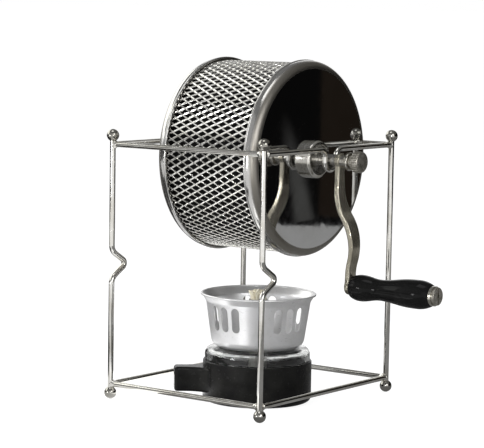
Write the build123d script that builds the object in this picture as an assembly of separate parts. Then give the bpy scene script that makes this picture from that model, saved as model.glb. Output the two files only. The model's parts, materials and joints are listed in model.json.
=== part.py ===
from build123d import *
import math
import os

# A hand-cranked coffee roaster: a wire stand carries a mesh drum on a shaft over a spirit burner.
# Millimetres. Drawn with the middle of the stand on the table at the origin, +Z up, the drum axis
# along Y and the crank towards -Y, then moved so that the origin is under the middle of the roaster.

# Wire stand
STAND_W = 176.0
STAND_D = 150.0
POST_D = 4.6
RAIL_D = 4.4
BASE_RAIL_Z = 12.2
TOP_RAIL_Z = 205.8
BALL_D = 10.0
FINIAL_RISE = 7.1
KINK_DEPTH = 15.3
KINK_SLOPE = 31.0
KINK_NOSE_R = 3.6
KINK_BEND_R = 8.0
NOTCH_BEND_R = 6.5

# Drum, its end caps, expanded-metal jacket, liner and stirring vanes
DRUM_D = 156.0
DRUM_L = 96.6
DRUM_FRONT_GAP = 17.6
CAP_T = 1.2
CAP_CORNER_R = 6.8
SKIRT_L = 10.0
SKIRT_BEAD_R = 0.9
MESH_AROUND = 36
MESH_ROWS = 7
STRAND_W = 2.4
MESH_T = 2.6
LINER_T = 0.8
VANE_COUNT = 3
VANE_H = 13.7
VANE_T = 1.2
VANE_END_GAP = 5.0

# Shaft, bushes, hubs and stop collar
SHAFT_D = 8.0
AXIS_DROP = 8.6
BUSH_D = 10.0
BUSH_INSIDE = 3.5
BUSH_OUTSIDE = 6.7
SHAFT_HEAD_D = 13.0
SHAFT_HEAD_L = 2.0
SPIGOT_D = 6.0
HUB_D = 30.0
HUB_L = 7.5
HUB_EDGE_R = 2.4
HUB_SPIGOT_D = 18.0
LOCK_RING_D = 26.0
LOCK_RING_T = 2.0
COLLAR_D = 16.0
COLLAR_L = 6.0
SET_SCREW_D = 3.0
SET_SCREW_L = 3.6

# Crank arm and the clamp on the shaft's end
CRANK_R = 98.6
ARM_T = 4.6
ARM_HEAD_W = 12.0
ARM_NECK_W = 9.4
ARM_MID_W = 13.4
ARM_FOOT_W = 11.4
ARM_END_W = 12.6
ARM_EDGE_R = 1.2
ARM_OFFSET = 15.2
JOGGLE_TOP = 20.0
JOGGLE_END = 68.0
FOOT_BACK = 3.0
FOOT_BEND_L = 22.0
BOSS_NECK_D = 10.0
BOSS_NECK_L = 5.0
BOSS_D = 14.4
BOSS_L = 3.5
BOSS_EDGE_R = 1.2
NUT_D = 16.7
NUT_L = 10.5
NUT_GROOVE_W = 4.0
NUT_GROOVE_DEPTH = 3.2
NUT_EDGE_R = 1.6
NUT_FLUTES = 24
NUT_FLUTE_R = 0.8
NUT_FLUTE_DEPTH = 0.35
NUT_FACE_T = 1.6

# Grip and its bolt
GRIP_L = 73.4
GRIP_END_D = 16.4
GRIP_END_EDGE_R = 1.5
GRIP_BULB_D = 21.0
GRIP_BULB_AT = 8.5
GRIP_WAIST_D = 16.9
GRIP_WAIST_AT = 23.0
GRIP_CONE_D = 19.8
GRIP_CONE_AT = 42.0
GRIP_BELLY_D = 22.6
GRIP_BELLY_BACK = 12.0
GRIP_TIP_D = 16.2
GRIP_BOLT_D = 6.0
GRIP_RIVET_D = 5.0
FERRULE_D = 15.6
FERRULE_T = 2.4
BOLT_HEAD_D = 14.2
BOLT_HEAD_T = 2.6
BOLT_HEAD_EDGE_R = 0.8
BOLT_SLOT_W = 2.0
BOLT_SLOT_DEPTH = 1.2

# Burner cup with its handle
BURNER_X = -11.0
BURNER_Y = -15.0
HANDLE_ANGLE = 132.0
CUP_D = 88.0
CUP_H = 33.0
CUP_WALL = 2.5
CUP_FLOOR = 3.0
CUP_CORNER_R = 4.0
CUP_INNER_R = 3.0
CUP_RIM_R = 1.0
HANDLE_REACH = 67.4
HANDLE_W = 15.0
HANDLE_ROOT_R = 22.0
ROOT_SHARE = 0.97
HANDLE_CORNER_R = 3.0
HANDLE_BOTTOM = 7.6
HANDLE_H = 20.0
HANDLE_EDGE_R = 2.2

# Glass font, neck collar, wick tube and wick
FONT_WALL = 2.4
FONT_BULGE = 1.4
FONT_CORNER_R = 5.0
FONT_RISE = 10.3
FONT_SHOULDER_R = 5.5
NECK_D = 26.0
NECK_H = 6.7
NECK_CAP_WALL = 1.9
NECK_CAP_SKIRT = 5.8
NECK_CAP_TOP_T = 2.0
WICK_D = 13.0
WICK_TUBE_T = 0.7
WICK_TUBE_RISE = 32.0
WICK_TUBE_DIP = 24.0
WICK_FLANGE_D = 22.0
WICK_FLANGE_T = 1.2
WICK_SHOWS = 8.0
WICK_DOME_R = 2.5
WICK_FLOOR_GAP = 3.0

# Windshield of the burner
SHIELD_ANGLE = 215.0
SHIELD_RIM_D = 92.6
SHIELD_H = 43.4
SHIELD_LIP_H = 6.0
SHIELD_LIP_W = 4.0
SHIELD_LIP_R = 5.0
SHIELD_FOOT_D = 73.5
SHIELD_FOOT_R = 8.0
SHIELD_T = 0.8
SHIELD_BEAD_R = 0.9
VENT_W = 6.8
VENT_H = 20.0
VENT_RISE = 25.4
VENT_PITCH = 14.8
VENTS_IN_GROUP = 3
VENT_GROUPS = 5
VENT_FRONT_STEP = 79.0

# Fits: running fit, seat gap, and the wider gaps of loose pieces
FIT = 0.05
SEAT = 0.3
NOTCH_FIT = 0.35
SKIRT_FIT = 0.5
WICK_FIT = 0.4
SHIELD_FIT = 0.6

# Places that follow from the sizes
POST_X = STAND_W / 2
POST_Y = STAND_D / 2
AXIS_Z = TOP_RAIL_Z - AXIS_DROP
SHAFT_R = SHAFT_D / 2
BUSH_R = BUSH_D / 2
SPIGOT_R = SPIGOT_D / 2
DRUM_R = DRUM_D / 2
FRONT_FACE = -POST_Y + DRUM_FRONT_GAP
REAR_FACE = FRONT_FACE + DRUM_L
LINER_R = DRUM_R - CAP_CORNER_R - FIT
MESH_R = DRUM_R - CAP_T - SKIRT_FIT
DRUM_FRONT = FRONT_FACE + CAP_T + SEAT
DRUM_REAR = REAR_FACE - CAP_T
MESH_FRONT = FRONT_FACE + CAP_CORNER_R + SEAT
MESH_REAR = REAR_FACE - CAP_CORNER_R - SEAT
ARM_REAR = -POST_Y - BUSH_OUTSIDE - SEAT
ARM_FRONT = ARM_REAR - ARM_T
BOSS_FRONT = ARM_FRONT - BOSS_NECK_L - BOSS_L
NUT_FRONT = BOSS_FRONT - NUT_L
SHAFT_REAR = POST_Y + BUSH_OUTSIDE + SEAT
GRIP_Z = AXIS_Z - CRANK_R
FOOT_FRONT = ARM_FRONT - ARM_OFFSET + FOOT_BACK
GRIP_REAR = FOOT_FRONT - SEAT
GRIP_FRONT = GRIP_REAR - GRIP_L
FERRULE_REAR = GRIP_FRONT - SEAT
BOLT_FRONT = FERRULE_REAR - FERRULE_T - BOLT_HEAD_T
CUP_R = CUP_D / 2
FONT_R = CUP_R - CUP_WALL - SEAT
FONT_SHOULDER_Z = CUP_H + FONT_RISE
NECK_R = NECK_D / 2
NECK_TOP = FONT_SHOULDER_Z + NECK_H
NECK_CAP_R = NECK_R + FIT + NECK_CAP_WALL
WICK_R = WICK_D / 2
TUBE_IN_R = WICK_R + WICK_FIT
TUBE_R = TUBE_IN_R + WICK_TUBE_T
WICK_TUBE_TOP = NECK_TOP + WICK_TUBE_RISE
WICK_TOP = WICK_TUBE_TOP + WICK_SHOWS
SHIELD_BASE = FONT_SHOULDER_Z + SEAT
SHIELD_RIM_Z = SHIELD_BASE + SHIELD_H
VENT_MID_Z = SHIELD_BASE + VENT_RISE
ORIGIN_Y = (BOLT_FRONT + SHAFT_REAR + SHAFT_HEAD_L) / 2


# Helpers

def section(corners, rounds=()):
    """A flat section from its corners, with some corners rounded: (corner, radius)."""
    face = make_face(Polyline(*corners, close=True))
    for corner, radius in rounds:
        face = fillet(face.vertices().sort_by_distance(corner)[0], radius)
    return face


def turned(corners, rounds=()):
    """A solid turned about the Y axis from corners given as (radius, place along the axis)."""
    return revolve(section(corners, rounds), Axis.Y)


def on_axis(solid, along=0.0, flip=False):
    """Carries a piece turned about Y to the drum's axis, turned end for end if flip is set."""
    return Pos(0, along, AXIS_Z) * Rot(0, 0, 180 if flip else 0) * solid


def upright(solid):
    """Stands a piece turned about Y upright, about Z."""
    return Rot(90, 0, 0) * solid


def on_burner(solid, turn=0.0):
    """Carries a piece drawn about Z to the burner's place, turned about its axis."""
    return Pos(BURNER_X, BURNER_Y, 0) * Rot(0, 0, turn) * solid


def bar(start, end, diameter):
    """A straight round bar between two points."""
    run = Vector(*end) - Vector(*start)
    return extrude(Plane(start, z_dir=run) * Circle(diameter / 2), run.length)


def bent_bar(path, diameter):
    """A round bar bent along a path."""
    return sweep(Plane(path @ 0, z_dir=path % 0) * Circle(diameter / 2), path)


def bent_path(points, radii):
    """Straight runs between points, each inner corner bent to its own radius."""
    points = [Vector(*point) for point in points]
    runs, start = [], points[0]
    for corner, after, radius in zip(points[1:], points[2:], radii):
        into, out = (corner - start).normalized(), (after - corner).normalized()
        cut = radius * math.tan(math.radians(into.get_angle(out)) / 2)
        near, far = corner - into * cut, corner + out * cut
        runs += [Line(start, near), TangentArc(near, far, tangent=into)]
        start = far
    return Wire([*runs, Line(start, points[-1])])


def s_bend(start, end):
    """Two tangent arcs that step sideways between two vertical runs."""
    middle = (Vector(*start) + Vector(*end)) / 2
    upper = TangentArc(start, middle, tangent=(0, 0, -1))
    return [upper, TangentArc(middle, end, tangent=upper % 1)]


# Wire stand

SEAT_RISE = math.sqrt((BALL_D / 2) ** 2 - (POST_D / 2) ** 2)
POST_BOTTOM = BALL_D / 2 + SEAT_RISE
FINIAL_Z = TOP_RAIL_Z + FINIAL_RISE
POST_TOP = FINIAL_Z - SEAT_RISE
CORNERS = [(x, y) for x in (-POST_X, POST_X) for y in (-POST_Y, POST_Y)]


def straight_post(x, y):
    return bar((x, y, POST_BOTTOM), (x, y, POST_TOP), POST_D)


def kinked_post(x, y):
    """A post bent inwards at half height into a V with a round nose."""
    middle = (BASE_RAIL_Z + TOP_RAIL_Z) / 2
    slope = math.radians(KINK_SLOPE)
    sharp_depth = KINK_DEPTH + KINK_NOSE_R * (1 / math.sin(slope) - 1)
    inward = x - math.copysign(sharp_depth, x)
    half = sharp_depth * math.tan(slope)
    corners = [(x, y, POST_BOTTOM), (x, y, middle - half), (inward, y, middle),
               (x, y, middle + half), (x, y, POST_TOP)]
    return bent_bar(bent_path(corners, [KINK_BEND_R, KINK_NOSE_R, KINK_BEND_R]), POST_D)


def foot_ball(x, y):
    ball = split(Sphere(BALL_D / 2), Plane.XY.offset(SEAT_RISE), keep=Keep.BOTTOM)
    return Pos(x, y, BALL_D / 2) * ball


def finial_ball(x, y):
    ball = split(Sphere(BALL_D / 2), Plane.XY.offset(-SEAT_RISE), keep=Keep.TOP)
    return Pos(x, y, FINIAL_Z) * ball


def coped(rail, across, side):
    """Fits a rail's ends to the posts, mitred against the rails of the next two sides."""
    half_run, half_side = (POST_X, POST_Y) if across else (POST_Y, POST_X)
    out, inner = side * (half_side + POST_D), side * (half_side - POST_D)
    plan = [(-half_run - POST_D, out), (half_run + POST_D, out),
            (half_run - POST_D, inner), (-half_run + POST_D, inner)]
    if not across:
        plan = [(y, x) for x, y in plan]
    zone = extrude(make_face(Polyline(*plan, close=True)), TOP_RAIL_Z + BALL_D)
    posts = [bar((x, y, 0), (x, y, TOP_RAIL_Z + BALL_D), POST_D) for x, y in CORNERS]
    return (rail & zone) - posts


def cross_rail(side, z):
    """A rail across the drum, on the front (side -1) or the rear (side 1)."""
    y = side * POST_Y
    return coped(bar((-POST_X, y, z), (POST_X, y, z), RAIL_D), True, side)


def long_rail(side, z):
    """A rail along the drum, on the left (side -1) or the right (side 1)."""
    x = side * POST_X
    return coped(bar((x, -POST_Y, z), (x, POST_Y, z), RAIL_D), False, side)


def notched_rail(side):
    """A top rail across the drum, dipped in a U under the shaft's bush."""
    y = side * POST_Y
    half = BUSH_R + NOTCH_FIT + RAIL_D / 2
    bend = NOTCH_BEND_R
    lean = bend * (1 - math.sqrt(0.5))

    def shoulder(sign):
        run = Line((sign * POST_X, y, TOP_RAIL_Z), (sign * (half + bend), y, TOP_RAIL_Z))
        turn = ThreePointArc(
            (sign * (half + bend), y, TOP_RAIL_Z),
            (sign * (half + lean), y, TOP_RAIL_Z - lean),
            (sign * half, y, TOP_RAIL_Z - bend),
        )
        drop = Line((sign * half, y, TOP_RAIL_Z - bend), (sign * half, y, AXIS_Z))
        return [run, turn, drop]

    cradle = ThreePointArc((-half, y, AXIS_Z), (0, y, AXIS_Z - half), (half, y, AXIS_Z))
    path = Wire([*shoulder(-1), cradle, *shoulder(1)])
    return coped(bent_bar(path, RAIL_D), True, side)


# Shaft and bearings

def bush(side):
    start = side * (POST_Y - BUSH_INSIDE)
    end = side * (POST_Y + BUSH_OUTSIDE)
    bore = SHAFT_R + FIT
    return on_axis(turned([(bore, start), (BUSH_R, start), (BUSH_R, end), (bore, end)]))


def shaft():
    """Upset head at the rear, full diameter through both bushes, thinner spigot for the crank."""
    tip = NUT_FRONT + NUT_FACE_T + SEAT
    rear = SHAFT_REAR + SHAFT_HEAD_L
    return on_axis(turned([
        (0, rear), (SHAFT_HEAD_D / 2, rear), (SHAFT_HEAD_D / 2, SHAFT_REAR), (SHAFT_R, SHAFT_REAR),
        (SHAFT_R, ARM_REAR), (SPIGOT_R, ARM_REAR), (SPIGOT_R, tip), (0, tip),
    ]))


COLLAR_START = POST_Y - BUSH_INSIDE - SEAT - COLLAR_L
SCREW_PLACES = [REAR_FACE + HUB_L / 2, COLLAR_START + COLLAR_L / 2]


def screw_hole(along, reach):
    return Pos(0, along, AXIS_Z) * bar((0, 0, 0), (reach, 0, 0), SET_SCREW_D + 2 * FIT)


def set_screw(along):
    start = SHAFT_R + FIT
    return Pos(0, along, AXIS_Z) * bar((start, 0, 0), (start + SET_SCREW_L, 0, 0), SET_SCREW_D)


def stop_collar():
    end = COLLAR_START + COLLAR_L
    bore = SHAFT_R + FIT
    outer = COLLAR_D / 2
    body = turned([(bore, COLLAR_START), (outer, COLLAR_START), (outer, end), (bore, end)])
    return on_axis(body) - screw_hole(SCREW_PLACES[1], COLLAR_D)


# Drum

def cap():
    """Pressed end cap: flat face at 0, skirt towards +Y with a rolled bead on its edge."""
    bore = HUB_SPIGOT_D / 2 + FIT
    inner = DRUM_R - CAP_T
    dish = section(
        [(bore, 0), (DRUM_R, 0), (DRUM_R, SKIRT_L), (inner, SKIRT_L), (inner, CAP_T), (bore, CAP_T)],
        [((DRUM_R, 0), CAP_CORNER_R), ((inner, CAP_T), CAP_CORNER_R - CAP_T)],
    )
    bead = Pos(inner + SKIRT_BEAD_R, SKIRT_L - SKIRT_BEAD_R) * Circle(SKIRT_BEAD_R)
    return revolve(dish + bead, Axis.Y)


def hub():
    """Turned hub seated on a cap's face, with a spigot through the cap."""
    bore = SHAFT_R + FIT
    spigot = HUB_SPIGOT_D / 2
    tail = CAP_T + LOCK_RING_T
    return turned(
        [(bore, -HUB_L), (HUB_D / 2, -HUB_L), (HUB_D / 2, 0), (spigot, 0), (spigot, tail), (bore, tail)],
        [((HUB_D / 2, -HUB_L), HUB_EDGE_R)],
    )


def lock_ring():
    """Ring on the hub's spigot, inside the cap."""
    bore = HUB_SPIGOT_D / 2 + FIT
    outer = LOCK_RING_D / 2
    start, end = CAP_T, CAP_T + LOCK_RING_T
    return turned([(bore, start), (outer, start), (outer, end), (bore, end)])


def tube(outer, wall, front, rear):
    """A thin tube about the drum's axis."""
    inner = outer - wall
    return turned([(inner, front), (outer, front), (outer, rear), (inner, rear)])


def drum_mesh():
    """Expanded metal: staggered rows of diamonds, long way along the drum, between the skirts."""
    row_step = (DRUM_L - 2 * SKIRT_L) / (MESH_ROWS - 1)
    first_row = FRONT_FACE + SKIRT_L
    pitch = 360 / MESH_AROUND
    half_w = math.pi * MESH_R / MESH_AROUND
    inset = half_w * row_step / math.hypot(half_w, row_step)
    open_share = 1 - STRAND_W / 2 / inset
    long, wide = row_step * open_share, half_w * open_share
    diamond = make_face(Polyline((0, -long), (wide, 0), (0, long), (-wide, 0), close=True))
    punch = Pos(0, 0, MESH_R - 2 * MESH_T) * extrude(diamond, 3 * MESH_T)
    punches = [
        Rot(0, (column + row % 2 / 2) * pitch, 0) * Pos(0, first_row + row * row_step, 0) * punch
        for row in range(MESH_ROWS) for column in range(MESH_AROUND)
    ]
    return on_axis(tube(MESH_R, MESH_T, MESH_FRONT, MESH_REAR) - punches)


def vane(angle):
    """A lifting strip along the liner's inside, its outer edge bedded on the liner."""
    wall = LINER_R - LINER_T
    length = DRUM_REAR - DRUM_FRONT - 2 * VANE_END_GAP
    middle = (DRUM_FRONT + DRUM_REAR) / 2
    strip = Pos(wall - VANE_H / 2 + VANE_T, middle, 0) * Box(VANE_H + 2 * VANE_T, length, VANE_T)
    core = turned([(0, DRUM_FRONT), (wall, DRUM_FRONT), (wall, DRUM_REAR), (0, DRUM_REAR)])
    return on_axis(Rot(0, angle, 0) * (strip & core))


# Crank and grip

def crank_arm():
    """Flat strip, swept down an S and trimmed to its front outline, with rounded ends."""
    line = ARM_REAR - ARM_T / 2
    top = (0, line, AXIS_Z + ARM_HEAD_W)
    bend_top = (0, line, AXIS_Z - JOGGLE_TOP)
    bend_end = (0, line - ARM_OFFSET, AXIS_Z - JOGGLE_END)
    foot_top = (0, line - ARM_OFFSET + FOOT_BACK, AXIS_Z - JOGGLE_END - FOOT_BEND_L)
    foot_end = (0, line - ARM_OFFSET + FOOT_BACK, GRIP_Z - ARM_END_W)
    path = Wire([
        Line(top, bend_top), *s_bend(bend_top, bend_end),
        *s_bend(bend_end, foot_top), Line(foot_top, foot_end),
    ])
    blank_w = 2 * max(ARM_HEAD_W, ARM_MID_W, ARM_END_W)
    strip = sweep(Plane(top, x_dir=(1, 0, 0), z_dir=(0, 0, -1)) * Rectangle(blank_w, ARM_T), path)

    middle = AXIS_Z - (JOGGLE_TOP + JOGGLE_END) / 2

    def edge(sign):
        return Spline(
            (sign * ARM_NECK_W / 2, AXIS_Z), (sign * ARM_NECK_W / 2, AXIS_Z - JOGGLE_TOP),
            (sign * ARM_MID_W / 2, middle), (sign * ARM_FOOT_W / 2, AXIS_Z - JOGGLE_END),
            (sign * ARM_FOOT_W / 2, GRIP_Z),
        )

    left, right = edge(-1), edge(1)
    blade = make_face([left, right, Line(left @ 0, right @ 0), Line(left @ 1, right @ 1)])
    shaft_at, grip_at = Pos(0, AXIS_Z), Pos(0, GRIP_Z)
    outline = blade + shaft_at * Circle(ARM_HEAD_W / 2) + grip_at * Circle(ARM_END_W / 2)
    outline -= shaft_at * Circle(SPIGOT_R + FIT)
    outline -= grip_at * Circle(GRIP_RIVET_D / 2 + FIT)
    reach = ARM_T + ARM_OFFSET
    seen = Plane((0, line + reach, 0), x_dir=(1, 0, 0), z_dir=(0, -1, 0))
    arm = strip & extrude(seen * outline, 2 * reach)

    def on_rim(rim):
        if rim.geom_type == GeomType.CIRCLE:
            return rim.radius > ARM_NECK_W / 2
        return abs((rim % 0.5).Z) > 0.3

    return fillet([rim for rim in arm.edges() if on_rim(rim)], ARM_EDGE_R)


def crank_boss():
    """Turned spacer that clamps the arm: a neck on the arm and a wide flange."""
    bore = SPIGOT_R + FIT
    neck, flange = BOSS_NECK_D / 2, BOSS_D / 2
    step = ARM_FRONT - BOSS_NECK_L
    return on_axis(turned(
        [(bore, ARM_FRONT), (neck, ARM_FRONT), (neck, step),
         (flange, step), (flange, BOSS_FRONT), (bore, BOSS_FRONT)],
        [((flange, step), BOSS_EDGE_R), ((flange, BOSS_FRONT), BOSS_EDGE_R)],
    ))


def thumb_nut():
    """Fluted blind nut with a groove against the boss."""
    bore = SPIGOT_R + FIT
    outer = NUT_D / 2
    groove = outer - NUT_GROOVE_DEPTH
    step = BOSS_FRONT - NUT_GROOVE_W
    floor = NUT_FRONT + NUT_FACE_T
    body = turned(
        [(bore, BOSS_FRONT), (groove, BOSS_FRONT), (groove, step), (outer, step),
         (outer, NUT_FRONT), (0, NUT_FRONT), (0, floor), (bore, floor)],
        [((outer, NUT_FRONT), NUT_EDGE_R)],
    )
    flute = bar((outer + NUT_FLUTE_R - NUT_FLUTE_DEPTH, step + NUT_GROOVE_W, 0),
                (outer + NUT_FLUTE_R - NUT_FLUTE_DEPTH, NUT_FRONT - NUT_L, 0), 2 * NUT_FLUTE_R)
    flutes = [Rot(0, index * 360 / NUT_FLUTES, 0) * flute for index in range(NUT_FLUTES)]
    return on_axis(body - flutes)


def on_grip(solid):
    return Pos(0, 0, GRIP_Z) * solid


def grip():
    """Turned handle: blunt bulb at the arm, waist, cone, belly and rounded tip, bored for its bolt."""
    bore = GRIP_BOLT_D / 2 + FIT
    end, tip = (GRIP_END_D / 2, GRIP_REAR), (GRIP_TIP_D / 2, GRIP_FRONT)
    bulb = (GRIP_BULB_D / 2, GRIP_REAR - GRIP_BULB_AT)
    waist = (GRIP_WAIST_D / 2, GRIP_REAR - GRIP_WAIST_AT)
    cone = (GRIP_CONE_D / 2, GRIP_REAR - GRIP_CONE_AT)
    belly = (GRIP_BELLY_D / 2, GRIP_FRONT + GRIP_BELLY_BACK)
    curves = [
        TangentArc(bulb, end, tangent=(0, 1)),
        Spline(bulb, waist, cone, belly, tangents=[(0, -1), (0, -1)]),
        TangentArc(belly, tip, tangent=(0, -1)),
    ]
    rest = Polyline(tip, (bore, GRIP_FRONT), (bore, GRIP_REAR), end)
    profile = make_face([*curves, *rest.edges()])
    profile = fillet(profile.vertices().sort_by_distance(end)[0], GRIP_END_EDGE_R)
    return on_grip(revolve(profile, Axis.Y))


def grip_ferrule():
    bore, outer = GRIP_BOLT_D / 2 + FIT, FERRULE_D / 2
    front = FERRULE_REAR - FERRULE_T
    return on_grip(turned([(bore, FERRULE_REAR), (outer, FERRULE_REAR), (outer, front), (bore, front)]))


def grip_bolt():
    """Slotted head, shank through the grip and a thinner end riveted into the arm."""
    shank, rivet, head = GRIP_BOLT_D / 2, GRIP_RIVET_D / 2, BOLT_HEAD_D / 2
    under_head = FERRULE_REAR - FERRULE_T
    arm_back = FOOT_FRONT + ARM_T
    bolt = turned(
        [(0, BOLT_FRONT), (head, BOLT_FRONT), (head, under_head), (shank, under_head),
         (shank, FOOT_FRONT), (rivet, FOOT_FRONT), (rivet, arm_back), (0, arm_back)],
        [((head, BOLT_FRONT), BOLT_HEAD_EDGE_R)],
    )
    slot = Pos(0, BOLT_FRONT, 0) * Box(BOLT_SLOT_W, 2 * BOLT_SLOT_DEPTH, BOLT_HEAD_D)
    return on_grip(bolt - slot)


# Burner

def burner_cup():
    """Moulded cup that holds the font, with a block handle that flares into its side."""
    wall = CUP_R - CUP_WALL
    bowl = upright(turned(
        [(0, 0), (CUP_R, 0), (CUP_R, CUP_H), (0, CUP_H)],
        [((CUP_R, 0), CUP_CORNER_R), ((CUP_R, CUP_H), CUP_RIM_R)],
    ))
    hollow = upright(turned(
        [(0, CUP_FLOOR), (wall, CUP_FLOOR), (wall, 2 * CUP_H), (0, 2 * CUP_H)],
        [((wall, CUP_FLOOR), CUP_INNER_R)],
    ))
    half, flare = HANDLE_W / 2, HANDLE_ROOT_R
    flare_x = math.sqrt((CUP_R + flare) ** 2 - (half + flare) ** 2)
    toward = math.atan2(half + flare, flare_x)
    bend_x = flare_x - flare * math.tan((math.pi / 2 - toward) / 2)
    deep = CUP_R - CUP_WALL - 2 * HANDLE_EDGE_R
    inside, outside = [(r * math.cos(toward), r * math.sin(toward)) for r in (deep, CUP_R)]
    side = [inside, outside, (bend_x, half), (HANDLE_REACH, half)]
    corners = side + [(x, -y) for x, y in reversed(side)]
    rounds = [((bend_x, half), ROOT_SHARE * flare), ((bend_x, -half), ROOT_SHARE * flare),
              ((HANDLE_REACH, half), HANDLE_CORNER_R), ((HANDLE_REACH, -half), HANDLE_CORNER_R)]
    handle = Pos(0, 0, HANDLE_BOTTOM) * extrude(section(corners, rounds), HANDLE_H)
    rims = [edge for face in handle.faces().filter_by(Axis.Z) for edge in face.edges()]
    handle = fillet([edge for edge in rims if edge.center().X > outside[0]], HANDLE_EDGE_R)
    return on_burner(bowl + handle - hollow, HANDLE_ANGLE)


def glass_font():
    """Clear fuel font: a bowl in the cup, a bulge over the cup's rim, a flat shoulder and a neck."""
    bulge = FONT_R + FONT_BULGE
    rim = CUP_H + SEAT
    inside, floor = FONT_SHOULDER_Z - FONT_WALL, CUP_FLOOR + FONT_WALL
    mouth, bowl = NECK_R - FONT_WALL, FONT_R - FONT_WALL
    return on_burner(upright(turned(
        [(0, CUP_FLOOR), (FONT_R, CUP_FLOOR), (FONT_R, rim), (bulge, rim + FONT_BULGE),
         (bulge, FONT_SHOULDER_Z), (NECK_R, FONT_SHOULDER_Z), (NECK_R, NECK_TOP), (mouth, NECK_TOP),
         (mouth, inside), (bulge - FONT_WALL, inside), (bulge - FONT_WALL, rim),
         (bowl, rim - FONT_BULGE), (bowl, floor), (0, floor)],
        [((FONT_R, CUP_FLOOR), FONT_CORNER_R), ((bulge, FONT_SHOULDER_Z), FONT_SHOULDER_R),
         ((bulge - FONT_WALL, inside), FONT_SHOULDER_R - FONT_WALL),
         ((bowl, floor), FONT_CORNER_R - FONT_WALL)],
    )))


def neck_cap():
    """Metal cap on the font's neck that carries the wick tube."""
    skirt, bore = NECK_R + FIT, TUBE_R + FIT
    top, low = NECK_TOP + NECK_CAP_TOP_T, NECK_TOP - NECK_CAP_SKIRT
    return on_burner(upright(turned(
        [(skirt, low), (NECK_CAP_R, low), (NECK_CAP_R, top),
         (bore, top), (bore, NECK_TOP), (skirt, NECK_TOP)],
        [((NECK_CAP_R, top), NECK_CAP_WALL / 2)],
    )))


def wick_tube():
    """Tube through the neck cap, with a flange resting on the cap."""
    seat = NECK_TOP + NECK_CAP_TOP_T
    flange = seat + WICK_FLANGE_T
    low = NECK_TOP - WICK_TUBE_DIP
    return on_burner(upright(turned(
        [(TUBE_IN_R, low), (TUBE_R, low), (TUBE_R, seat), (WICK_FLANGE_D / 2, seat),
         (WICK_FLANGE_D / 2, flange), (TUBE_R, flange), (TUBE_R, WICK_TUBE_TOP), (TUBE_IN_R, WICK_TUBE_TOP)],
    )))


def wick():
    low = CUP_FLOOR + FONT_WALL + WICK_FLOOR_GAP
    return on_burner(upright(turned(
        [(0, low), (WICK_R, low), (WICK_R, WICK_TOP), (0, WICK_TOP)], [((WICK_R, WICK_TOP), WICK_DOME_R)],
    )))


def windshield():
    """Spun cup on the font's shoulder: tapered wall, flared lip with a rolled edge, groups of vents."""
    rim, lip = SHIELD_RIM_D / 2, SHIELD_RIM_D / 2 - SHIELD_LIP_W
    lip_z = SHIELD_RIM_Z - SHIELD_LIP_H
    foot, hole = SHIELD_FOOT_D / 2, NECK_CAP_R + SHIELD_FIT
    floor = SHIELD_BASE + SHIELD_T
    wall = section(
        [(hole, SHIELD_BASE), (foot, SHIELD_BASE), (lip, lip_z), (rim, SHIELD_RIM_Z),
         (rim - SHIELD_T, SHIELD_RIM_Z), (lip - SHIELD_T, lip_z), (foot - SHIELD_T, floor), (hole, floor)],
        [((foot, SHIELD_BASE), SHIELD_FOOT_R), ((foot - SHIELD_T, floor), SHIELD_FOOT_R - SHIELD_T),
         ((lip, lip_z), SHIELD_LIP_R), ((lip - SHIELD_T, lip_z), SHIELD_LIP_R + SHIELD_T)],
    )
    bead = Pos(rim - SHIELD_T / 2, SHIELD_RIM_Z - SHIELD_BEAD_R / 2) * Circle(SHIELD_BEAD_R)
    shell = upright(revolve(wall + bead, Axis.Y))
    slot = Plane((0, 0, VENT_MID_Z), x_dir=(0, 0, 1), z_dir=(1, 0, 0)) * SlotOverall(VENT_H, VENT_W)
    punch = extrude(slot, rim)
    middle = (VENTS_IN_GROUP - 1) / 2
    step = (360 - VENT_FRONT_STEP) / (VENT_GROUPS - 1)
    groups = [VENT_FRONT_STEP / 2 + index * step for index in range(VENT_GROUPS)]
    angles = [group + (index - middle) * VENT_PITCH for group in groups for index in range(VENTS_IN_GROUP)]
    return on_burner(shell - [Rot(0, 0, angle) * punch for angle in angles], SHIELD_ANGLE)


# Every node of the roaster, by name

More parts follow.
